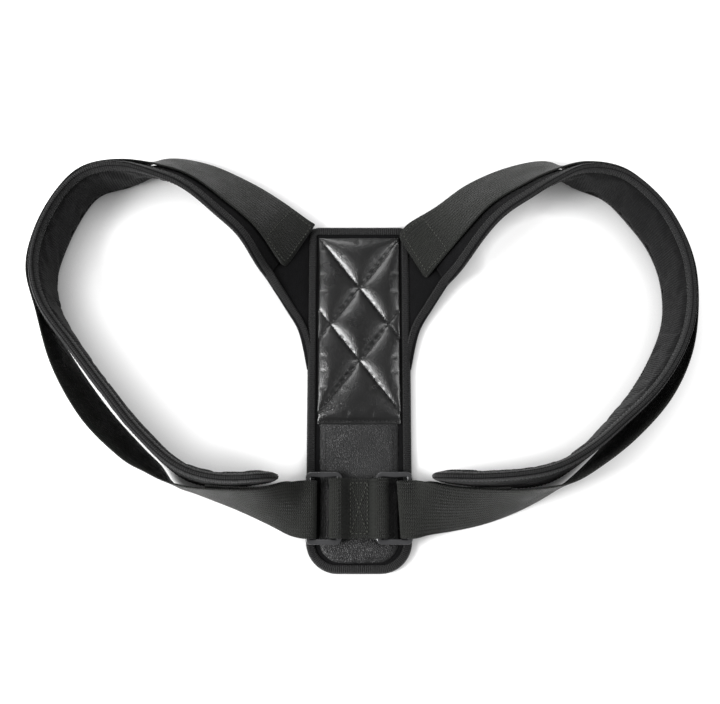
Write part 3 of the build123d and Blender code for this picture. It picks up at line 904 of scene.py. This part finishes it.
def ribbon_round(name, loop, y0, width, thick):
    """A closed strip: the loop in x and z is its middle line, its width runs along y."""
    along = np.roll(loop, -1, axis=0) - np.roll(loop, 1, axis=0)
    normal = unit(np.column_stack([-along[:, 1], 0 * along[:, 0], along[:, 0]]))
    origin = np.column_stack([loop[:, 0], np.full(len(loop), y0), loop[:, 1]])
    across = np.tile([0, 1.0, 0], (len(loop), 1))
    return swept(name, origin, across, normal, strip_profile(width, thick), wrap=True)


tab_y0, tab_width = TAB_LOW[1], TAB_HIGH[1] - TAB_LOW[1]
tab = ribbon_round("ring_tab_webbing", tab_loop(), tab_y0, tab_width, WEB_T)
settle(tab, WEBBING, "back_panel", ["ring_tab"])
tab_z = TAB_LOW[2] + 2 * WEB_T + 0.65 * MM
tab_x, tab_mid = 7.0 * MM, (TAB_LOW[1] + TAB_HIGH[1]) / 2
tab_y = tab_width / 2 - 4 * MM


def flat_row(start, end, z):
    t = np.linspace(0, 1, 40)[:, None]
    flat = np.asarray(start) * (1 - t) + np.asarray(end) * t
    return level(flat, z), np.tile([0, 0, 1.0], (len(flat), 1))


box = [(x * tab_x, tab_mid + y * tab_y) for x, y in ((-1, -1), (1, -1), (1, 1), (-1, 1))]
tab_rows = [flat_row(box[k], box[(k + 1) % 4], tab_z) for k in range(4)]
tab_rows += [flat_row(box[0], box[2], tab_z), flat_row(box[1], box[3], tab_z)]
tab_thread = stitches("tab_thread", tab_rows, 3.4 * MM, 2.3 * MM, 0.52 * MM)
settle(tab_thread, HIGHLIGHT_PAINTED_THREAD, "back_panel", ["tab_stitching"])


# %% [markdown]
# The rings are cast zinc: one bar bent into a rectangle. A squared-off oval carried round
# a rounded rectangle has the soft edges of a casting, which a bevelled box would not.

# %% The rings
def ring_path(low, high, bar, r, step=1.0 * MM):
    """The middle line of a rounded rectangle, anticlockwise."""
    x0, y0 = low[0] + bar / 2, low[1] + bar / 2
    x1, y1 = high[0] - bar / 2, high[1] - bar / 2
    path = []
    corners = ((x0 + r, y0 + r, 180), (x1 - r, y0 + r, 270), (x1 - r, y1 - r, 0), (x0 + r, y1 - r, 90))
    for x, y, start in corners:
        turn = np.radians(start + np.linspace(0, 90, 9))
        path.append(np.stack([x + r * np.cos(turn), y + r * np.sin(turn)], 1))
    path = np.vstack(path + [path[0][:1]])
    at = np.linspace(0, lengths(path)[-1], int(lengths(path)[-1] / step), endpoint=False)
    return resampled(path, at)


RING_BAR = 4.5 * MM
RING_T = RING_HIGH[2] - RING_LOW[2]
for side in ("left", "right"):
    low, high = (np.array(c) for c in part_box(f"{side}_ring"))
    path = ring_path(low, high, RING_BAR, 2.6 * MM)
    turn = np.linspace(0, 2 * np.pi, 20, endpoint=False)
    # A squared-off oval: |q|^3 + |n|^3 = 1, as a cast bar with softened edges.
    q = np.sign(np.cos(turn)) * np.abs(np.cos(turn)) ** (2 / 3) * RING_BAR / 2
    n = np.sign(np.sin(turn)) * np.abs(np.sin(turn)) ** (2 / 3) * RING_T / 2
    up = np.tile([0, 0, 1.0], (len(path), 1))
    ring = swept(f"{side}_cast_ring", level(path, RING_Z), inward_of(path), up, (q, n), wrap=True)
    settle(ring, RING_COAT, f"{side}_ring", [f"{side}_ring"])

# %% [markdown]
# ## The shoulder loops
# A pad is a long cushion: wadding in a knitted lining, faced with brushed fabric, its
# outline bound with tape. All of it is set out flat, as s along and v across, and then
# carried into place on the band.

# %% Both edges of a pad and of its strap
def pad_edges(side):
    way = -1 if side == "left" else 1
    stations = np.array(PAD_STATIONS[side], float)
    places = np.column_stack([way * stations[:, 0], stations[:, 1], 0 * stations[:, 0]]) * MM
    after = np.vstack([places[1:], places[-1:]])
    before = np.vstack([places[:1], places[:-1]])
    along = unit(after - before)
    inward = np.cross([0, 0, 1.0], along) * -way
    lean = np.radians(stations[:, 2:])
    lower = places + np.abs(np.cos(lean)) * [0, 0, PAD_HALF]
    upper = lower + (inward * np.cos(lean) + np.sin(lean) * [0, 0, 1.0]) * PAD_W
    return lower, upper


def band_ways(lower, upper, side):
    """The way across and the outward way at each pair of edge points."""
    way = -1 if side == "left" else 1
    middle = (lower + upper) / 2
    along = np.vstack([middle[1:], middle[-1:]]) - np.vstack([middle[:1], middle[:-1]])
    across = unit(upper - lower)
    return across, unit(np.cross(along, across)) * -way


def strap_edges(side):
    way = -1 if side == "left" else 1
    lower, upper = pad_edges(side)
    across, out = band_ways(lower, upper, side)
    count = SEWN_STATIONS[side]
    shift = (-1 + 7 * np.minimum(np.arange(count) / 6, 1))[:, None] * MM
    sewn_low = lower[:count] + across[:count] * shift + out[:count] * STRAP_RISE
    sewn_high = sewn_low + across[:count] * STRAP_W
    free = np.array(STRAP_STATIONS[side], float) * MM
    free_low = free[:, :3] * [way, 1, 1]
    free_high = free[:, 3:] * [way, 1, 1]
    z = RING_Z + EYE_R
    ends = np.array([[way * x, STRAP_Y0, z] for x in (LAST_STATION_OUT, STRAP_BAR_X)])
    first = np.array(STRAP_ENDS[side], float).reshape(2, 3) * [way, 1, 1] * MM
    low = np.vstack([first[:1], sewn_low, free_low, ends])
    high = np.vstack([first[1:], sewn_high, free_high, ends + [0, STRAP_W, 0]])
    return low, high


# %% [markdown]
# Foam between a knitted lining and a brushed cover swells in the middle and is nipped at
# its bound edge. The half thickness rises with the distance from the edge, and small
# ripples and creases are sums of sines with a fixed seed.

# %% The cushion of a shoulder pad
TIP_R = 19 * MM


def tip_inset(from_end):
    """How far the outline steps in near the pad's free end: a quarter circle's height."""
    d = np.clip(TIP_R - from_end, 0, TIP_R)
    return TIP_R - np.sqrt(np.maximum(TIP_R**2 - d**2, 0))


def pad_half(q):
    """Half the pad's thickness, q in from its edge: it swells within about 8 mm."""
    return 1.7 * MM + 2.5 * MM * (1 - np.exp(-np.maximum(q, 0) / (6 * MM)))


def edge_distance(s, v, length):
    """The distance in from the pad's outline, flat."""
    sides = np.minimum(v, PAD_W - v)
    end = length - s
    dx, dy = TIP_R - end, TIP_R - sides
    in_corner = (dx > 0) & (dy > 0)
    corner = TIP_R - np.hypot(np.maximum(dx, 0), np.maximum(dy, 0))
    return np.where(in_corner, corner, np.minimum(sides, end))




def ripples(s, v, seed):
    """Soft unevenness: a few long sine waves of random length, slant and phase."""
    r = np.random.default_rng(seed)
    total = np.zeros(np.broadcast(s, v).shape)
    for _ in range(9):
        along, slant = r.uniform(14, 60) * MM, r.uniform(-0.9, 0.9)
        total = total + np.sin((s + slant * v) / along * 2 * np.pi + r.uniform(0, 6.3))
    return total / 9


def creases(s, v, seed, length):
    """Fold lines of the lining where the loop bends: narrow valleys running across."""
    r = np.random.default_rng(seed)
    total = np.zeros(np.broadcast(s, v).shape)
    for _ in range(16):
        centre, slant = r.uniform(0.2, 0.72) * length, r.uniform(-0.5, 0.5)
        width, reach = r.uniform(1.2, 2.4) * MM, r.uniform(0.25, 0.6)
        middle = r.uniform(0.3, 0.7) * PAD_W
        fade = np.exp(-(((v - middle) / (reach * PAD_W)) ** 2))
        total = total + np.exp(-(((s - centre - slant * (v - middle)) / width) ** 2)) * fade
    return total


def pad_grids(length, seed):
    """Flat s and v of a pad's points, with the heights of its outer and inner faces."""
    s = np.linspace(0, length - TIP_R, 300)
    s = np.concatenate([s, length - TIP_R + TIP_R * np.sin(np.linspace(0, np.pi / 2, 16)[1:])])
    inset = tip_inset(length - s)
    t = (1 - np.cos(np.linspace(0, np.pi, 31))) / 2
    v = inset[:, None] + (PAD_W - 2 * inset)[:, None] * t[None]
    s = np.broadcast_to(s[:, None], v.shape)
    edge = edge_distance(s, v, length)
    swell = np.clip(edge / (12 * MM), 0, 1)
    outer = pad_half(edge) + 0.5 * MM * ripples(s, v, seed) * swell
    inner = pad_half(edge) + 0.5 * MM * ripples(s, v, seed + 1) * swell
    inner = inner - 0.9 * MM * creases(s, v, seed + 2, length) * swell
    return s, v, edge, outer, inner


def wrinkled(s, v, edge, inner):
    """The inner face is crowded where the loop bends, so the lining buckles as cloth does."""
    flat = np.stack([s, v, inner], axis=-1)
    blown = blown_up(s, v, inner, edge < 7 * MM, 0.03, 0.5, 1.5)
    shift = np.nan_to_num(blown - flat)
    size = np.linalg.norm(shift, axis=-1, keepdims=True)
    shift = shift * np.minimum(1, 1.8 * MM / np.maximum(size, 1e-9))
    print("lining moved by up to", round(float(size.max() / MM), 2), "mm, capped at 1.8")
    return flat + shift


def closed_pad(s, v, outer, inner):
    """Columns run over the outer face and back over the inner one."""
    ss = np.hstack([s, inner[:, -2:0:-1, 0]])
    vv = np.hstack([v, inner[:, -2:0:-1, 1]])
    nn = np.hstack([outer, -inner[:, -2:0:-1, 2]])
    return ss, vv, nn


def sv_map(s, v):
    """Map rows and columns for a band piece: s along, a running count across."""
    u = np.append(s[:, 0], s[-1, 0]) / MM
    across = np.concatenate([[0], np.cumsum(np.abs(np.diff(v[0])))]) / MM
    return u, np.append(across, across[-1])


# %% [markdown]
# The outline's tape: the path runs down the lower edge, round the tip, back along the
# upper edge and on down the gusset to the panel's side, in one piece as it is sewn.

# %% Edge path of a pad
def pad_outline(band, step=1.5 * MM):
    """Edge points in 3-D with the way in and the outward way, round the whole pad."""
    length = band["length"]
    turn = np.linspace(0, np.pi / 2, 14)
    path = [np.column_stack([np.linspace(0, length - TIP_R, 400), np.zeros(400)])]
    path.append(np.column_stack([length - TIP_R + TIP_R * np.sin(turn), TIP_R - TIP_R * np.cos(turn)]))
    tip_s, tip_v = length - TIP_R + TIP_R * np.cos(turn), PAD_W - TIP_R + TIP_R * np.sin(turn)
    path.append(np.column_stack([tip_s, tip_v]))
    path.append(np.column_stack([np.linspace(length - TIP_R, 0, 400), np.full(400, PAD_W)]))
    flat = np.vstack(path)
    s = lengths(flat)
    flat = resampled(flat, np.linspace(0, s[-1], int(s[-1] / step)), s)
    along = unit(np.gradient(flat, axis=0))
    inner = flat + np.column_stack([-along[:, 1], along[:, 0]]) * 2 * MM
    edge = place(band, flat[:, 0], flat[:, 1], 0.0)
    inward = unit(place(band, np.clip(inner[:, 0], 0, length), inner[:, 1], 0.0) - edge)
    out = resampled(band["out"], flat[:, 0], band["s"])
    return edge, inward, unit(out)


GUSSET_EDGE = np.array([(73, 96), (62, 74), (50.5, 54), (43.4, 22)]) * MM


def gusset_rim(side, band):
    """From the pad's upper corner down the gusset's free edge to the panel's side."""
    way = -1 if side == "left" else 1
    start = place(band, np.zeros(1), np.full(1, PAD_W), 0.0)[0]
    rest = np.column_stack([way * GUSSET_EDGE[1:, 0], GUSSET_EDGE[1:, 1], [7 * MM, 4.4 * MM, 3.4 * MM]])
    curve = smooth(np.vstack([start, rest]), 16)
    at = np.linspace(0, lengths(curve)[-1], 56)
    curve = resampled(curve, at)
    along = unit(np.gradient(curve, axis=0))
    up = np.tile([0, 0, 1.0], (len(curve), 1))
    inward = unit(np.cross(up, along)) * -way
    return curve, inward, unit(np.cross(along, inward)) * -way


def pad_tape_profile():
    """Tape over the pad's edge: it lies on both faces and is round over the rim."""
    q = np.array([7, 5.6, 4, 2.6, 1.4, 0.5, -0.2, -0.6]) * MM
    n = pad_half(q) + np.array([0.55, 0.6, 0.6, 0.55, 0.3, -0.15, -0.8, -1.5]) * MM
    inner_q = np.array([0.6, 2.5, 5, 7]) * MM
    inner_n = pad_half(inner_q) - 0.2 * MM
    qs = np.concatenate([q, q[::-1], inner_q, inner_q[::-1]])
    ns = np.concatenate([n, -n[::-1], -inner_n, inner_n[::-1]])
    return qs, ns


# %% [markdown]
# The gusset fills the three-cornered space between the panel's side and the pad.

# %% Gusset
def gusset_shell(side, band):
    """A ruled cushion from the panel's side to the pad's first row and the free edge."""
    way = -1 if side == "left" else 1
    v = np.linspace(0, PAD_W, 40)
    seam = place(band, np.zeros(40), v, 0.0)
    rim = gusset_rim(side, band)[0]
    outer = np.vstack([seam, rim[1:]])
    outer = resampled(outer, np.linspace(0, lengths(outer)[-1], 72))
    x = way * (PANEL_HIGH[0] - 1.5 * MM)
    top, bottom = outer[0, 1] - 1 * MM, outer[-1, 1]
    inner = np.column_stack([np.full(72, x), np.linspace(top, bottom, 72), np.full(72, 3.4 * MM)])
    t = np.linspace(0, 1, 22)
    mid = inner[:, None] * (1 - t)[None, :, None] + outer[:, None] * t[None, :, None]
    wide = np.linalg.norm(outer - inner, axis=1)[:, None] * np.minimum(t, 1 - t)[None]
    half = 1.5 * MM + 1.6 * MM * (1 - np.exp(-wide / (4 * MM)))
    rise = half[..., None] * [0, 0, 1.0]
    both = np.concatenate([mid + rise, (mid - rise)[:, ::-1]], axis=1)
    both[..., 2] = np.maximum(both[..., 2], 0.15 * MM)
    return both


# %% [markdown]
# The strap is one length of webbing: sewn on the pad, free below, flat at the ring, round
# its outer bar, and back on the inner side as the tail with its hook tape.

# %% Strap route
# How far the strap's fold reaches past the bar, at its waist edge and its neck edge.
EYE_REACH = {"left": (7.0 * MM, 7.4 * MM), "right": (7.8 * MM, 11.2 * MM)}


def strap_route(side):
    """Edge pairs from the sewn end, round the ring's bar, to the end of the tail."""
    way = -1 if side == "left" else 1
    low, high = strap_edges(side)
    across, out = band_ways(low, high, side)
    turn = np.radians(np.linspace(90, -90, 13))
    eye_z = RING_Z + EYE_R * np.sin(turn)
    eyes = []
    for reach, y in zip(EYE_REACH[side], (STRAP_Y0, STRAP_Y0 + STRAP_W)):
        eyes.append(np.column_stack([way * (STRAP_BAR_X - reach * np.cos(turn)), np.full(13, y), eye_z]))
    drop, close = 2 * EYE_R, 3.0 * MM
    tail_low, tail_high = [], []
    for k in range(1, 7):
        i = len(low) - 1 - k
        down = drop if k == 1 else max(drop - k * (drop - close) / 3, close)
        tail_low.append(low[i] + across[i] * 2 * MM - out[i] * down)
        tail_high.append(low[i] + across[i] * 45 * MM - out[i] * down)
        if abs(low[i][0]) > TAIL_END_OUT:
            break
    tail_low, tail_high = np.array(tail_low), np.array(tail_high)
    reach = (TAIL_END_OUT - abs(tail_low[-2][0])) / (abs(tail_low[-1][0]) - abs(tail_low[-2][0]))
    for line in (tail_low, tail_high):
        line[-1] = line[-2] + (line[-1] - line[-2]) * reach
    front_low, front_high = smooth(low, 10), smooth(high, 10)
    back_low, back_high = smooth(tail_low, 10), smooth(tail_high, 10)
    whole_low = np.vstack([front_low, eyes[0][1:-1], back_low])
    whole_high = np.vstack([front_high, eyes[1][1:-1], back_high])
    return whole_low, whole_high, (back_low, back_high)


def ribbon(name, low, high, thick, side, corner=0.1 * MM, lift=0.0, inset=0.0):
    """A strip between two edges, its rows evenly spaced along its middle."""
    way = -1 if side == "left" else 1
    s = lengths((low + high) / 2)
    at = np.linspace(0, s[-1], int(s[-1] / (2.2 * MM)))
    if corner > 1 * MM:
        at = np.sort(np.concatenate([at, corner * np.array([0.03, 0.1, 0.22, 0.4, 0.65])]))
    low, high = softened(resampled(low, at, s), 2), softened(resampled(high, at, s), 2)
    across = unit(high - low)
    out = unit(np.cross(np.gradient((low + high) / 2, axis=0), across)) * -way
    width = float(np.median(np.linalg.norm(high - low, axis=1)))
    wide = np.linalg.norm(high - low, axis=1, keepdims=True)
    into = np.clip(corner - at, 0, corner)[:, None]
    inset = inset + corner - np.sqrt(np.maximum(corner**2 - into**2, 0))
    v, n = strip_profile(1.0, thick, 14)
    v = np.concatenate([[0], np.linspace(0.012, 0.988, 14), [1], np.linspace(0.988, 0.012, 14)])
    step_in = v[None, :, None] * (wide - 2 * inset)[:, None] + inset[:, None]
    points = low[:, None] + across[:, None] * step_in
    points = points + out[:, None] * (n + lift)[None, :, None]
    u_mm = np.append(at, at[-1]) / MM
    v_mm = np.append(np.abs(v), 0) * width / MM
    return mesh_object(name, points, (False, True), (u_mm, v_mm), capped=True), (low, across, out, at)


# %% [markdown]
# Each loop is made of the same pieces on its own stations, so every piece has a function
# that takes the side. The pad's skin side goes through the cloth solver, then its cover,
# edge tape and thread are laid over the settled shape.

# %% Pieces of a pad
def build_pad(side, band, seed):
    s, v, from_edge, outer, inner = pad_grids(band["length"], seed)
    inner = np.stack([s, v, inner], axis=-1)
    inner = wrinkled(s, v, from_edge, inner[..., 2])
    facing = mesh_object(f"{side}_pad_facing", place(band, s, v, outer + 0.15 * MM), map_mm=sv_map(s, v))
    s, v, n = closed_pad(s, v, outer, inner)
    cushion = mesh_object(f"{side}_pad_cushion", place(band, s, v, n), (False, True), sv_map(s, v), True)
    settle_on_loop(cushion, KNITTED_LINING, [f"{side}_pad_foam", f"{side}_pad_lining"])

    skin = facing.modifiers.new("fabric thickness", "SOLIDIFY")
    skin.thickness = 0.5 * MM
    settle_on_loop(facing, BRUSHED_FABRIC, [f"{side}_pad_cover"])


def build_edging(side, band):
    """One tape round the pad and down the gusset's free edge, and a row of thread on each face."""
    edge, inward, out = pad_outline(band)
    rim, rim_in, rim_out = gusset_rim(side, band)
    origin = softened(np.vstack([edge, rim[1:]]), 4)
    inward = unit(softened(np.vstack([inward, rim_in[1:]]), 6))
    out = unit(softened(np.vstack([out, rim_out[1:]]), 6))
    run = np.arange(len(origin)) - len(edge)
    flatter = 1 - 0.36 * np.clip(run / len(rim), 0, 1) ** 0.7
    edging = swept(f"{side}_pad_edge_tape", origin, inward, out, pad_tape_profile(), flatter=flatter)
    settle_on_loop(
        edging, BINDING_TAPE,
        [f"{side}_pad_lower_tape", f"{side}_pad_upper_tape", f"{side}_gusset_tape"],
    )
    row_height = (pad_half(5.8 * MM) + 0.65 * MM) * flatter[:, None]
    rows = [
        (origin + inward * 5.8 * MM + out * row_height, out),
        (origin + inward * 5.8 * MM - out * row_height, -out),
    ]
    thread = stitches(f"{side}_pad_tape_thread", rows, 3.2 * MM, 2.4 * MM, 0.3 * MM)
    settle_on_loop(thread, THREAD)


# %% [markdown]
# The gusset and the strap come last: the strap is one ribbon from its sewn end to the end
# of its tail, with hook tape on the tail and a box of stitches where it is sewn down.

# %% Gusset and strap of a loop
def build_gusset(side, band):
    shell = gusset_shell(side, band)
    gusset = mesh_object(f"{side}_gusset_cushion", shell, (False, True), capped=True)
    settle_on_loop(gusset, BRUSHED_FABRIC, [f"{side}_gusset"])


def build_strap(side):
    low, high, (tail_low, tail_high) = strap_route(side)
    strap, (start, across, out, at) = ribbon(f"{side}_shoulder_strap", low, high, WEB_T, side, 4 * MM)
    settle_on_loop(strap, WEBBING, [f"{side}_strap"])
    tail = (tail_low[-22:], tail_high[-22:])
    hook, _ = ribbon(f"{side}_hook_strip", *tail, 1.0 * MM, side, lift=-1.25 * MM, inset=3 * MM)
    settle_on_loop(hook, HOOK_TAPE, [f"{side}_hook_tape"])

    lift = WEB_T / 2 + 0.12 * MM
    ends = np.searchsorted(at, [4 * MM, 27 * MM])
    rows = []
    for across_at in (4 * MM, STRAP_W - 4 * MM):
        part = slice(ends[0], ends[1] + 1)
        rows.append((start[part] + across[part] * across_at + out[part] * lift, out[part]))
    for k in ends:
        steps = np.linspace(4 * MM, STRAP_W - 4 * MM, 30)[:, None]
        rows.append((start[k] + across[k] * steps + out[k] * lift, np.tile(out[k], (30, 1))))
    thread = stitches(f"{side}_strap_thread", rows, 3.4 * MM, 2.3 * MM, 0.45 * MM)
    settle_on_loop(thread, HIGHLIGHT_PAINTED_THREAD, [f"{side}_strap_stitching"])


# %% Build both loops
for side, seed in (("left", 11), ("right", 29)):
    lower, upper = pad_edges(side)
    band = band_of(smooth(lower, 10), smooth(upper, 10))
    band["out"] = band["out"] * (1 if side == "left" else -1)
    build_pad(side, band, seed)
    build_edging(side, band)
    build_gusset(side, band)
    build_strap(side)
    print(side, "pad", round(float(band["length"] / MM), 1), "mm long")

# %% [markdown]
# ## Floor, light and camera
# A pale seamless floor under broad soft light. The camera looks almost straight down.

# %% Floor
FLOOR_DROP = 0.2 * MM
FLOOR_HALF = 3.0
mesh = bpy.data.meshes.new("floor")
corners = [(x * FLOOR_HALF, y * FLOOR_HALF, -FLOOR_DROP) for x, y in ((-1, -1), (1, -1), (1, 1), (-1, 1))]
mesh.from_pydata(corners, [], [(0, 1, 2, 3)])
floor = bpy.data.objects.new("floor", mesh)
bpy.context.scene.collection.objects.link(floor)


def floor_nodes(tree):
    """The floor glows by its open share of the sky to the power 2, a painted shadow: narrow gaps beside the
    pieces go dark.
    """
    sky = add(tree, "AmbientOcclusion", {"Distance": 32 * MM}, samples=8).outputs["AO"]
    # painted shadow: the floor's glow falls off where pieces stand within 32 mm
    painted_shadow_glow = add(tree, "Math", {0: sky, 1: 2.0}, operation="POWER")
    return {"colour": (0.7, 0.7, 0.7, 1), "glow": add(tree, "Math", {0: painted_shadow_glow, 1: 0.7}, operation="MULTIPLY")}


floor.data.materials.append(shader(
    "pale_floor", floor_nodes, 0.9, None, Specular_IOR_Level=0.0, Emission_Color=(1, 1, 1, 1),
))

# %% [markdown]
# Everything is black, so shape shows by reflections. One large soft box at the left makes
# the bright side of each puff, and two weak ones keep the other edges readable.

# %% Lights
def softbox(name, place_at, look_at, size, power):
    data = bpy.data.lights.new(name, "AREA")
    data.shape = "RECTANGLE"
    data.size, data.size_y = size
    data.energy = power
    lamp = bpy.data.objects.new(name, data)
    bpy.context.scene.collection.objects.link(lamp)
    lamp.location = place_at
    way = unit(np.array(place_at) - np.array(look_at))
    lamp.rotation_euler = mathutils_euler(way)
    return lamp


def mathutils_euler(way):
    """The turn that points a lamp's or camera's back along way, keeping it upright."""
    tilt = math.acos(max(-1, min(1, way[2])))
    turn = math.atan2(way[0], -way[1])
    return (tilt, 0, turn)


world = bpy.data.worlds.new("studio")
world.use_nodes = True
world.node_tree.nodes["Background"].inputs[0].default_value = (1, 1, 1, 1)
world.node_tree.nodes["Background"].inputs[1].default_value = 0.3
bpy.context.scene.world = world
softbox("left_softbox", (-1.2, -0.3, 0.85), (0, 0.05, 0), (0.5, 0.9), 38)
softbox("right_softbox", (1.25, 0.1, 0.8), (0, 0.05, 0), (0.35, 1.0), 8)
softbox("back_softbox", (-0.5, 1.2, 1.0), (0, 0.05, 0), (0.9, 0.4), 8)
bpy.context.scene.view_settings.view_transform = "Standard"

# %% [markdown]
# The view is almost straight down from the waist end, through a lens long enough to show
# both loops at the same size.

# %% Camera
ELEVATION = math.radians(79)
DISTANCE = 0.9
VIEW_WIDTH = 608.4 * MM
target = np.array([0.0008, 0.037, 0.005])
back = np.array([0, -math.cos(ELEVATION), math.sin(ELEVATION)])
camera_data = bpy.data.cameras.new("camera")
camera_data.sensor_width = 36
camera_data.lens = 36 * DISTANCE / VIEW_WIDTH
camera = bpy.data.objects.new("camera", camera_data)
bpy.context.scene.collection.objects.link(camera)
camera.location = target + back * DISTANCE
camera.rotation_euler = mathutils_euler(back)
bpy.context.scene.camera = camera

# %% [markdown]
# At the end the view layer is brought up to date.

# %% Finish
bpy.context.view_layer.update()
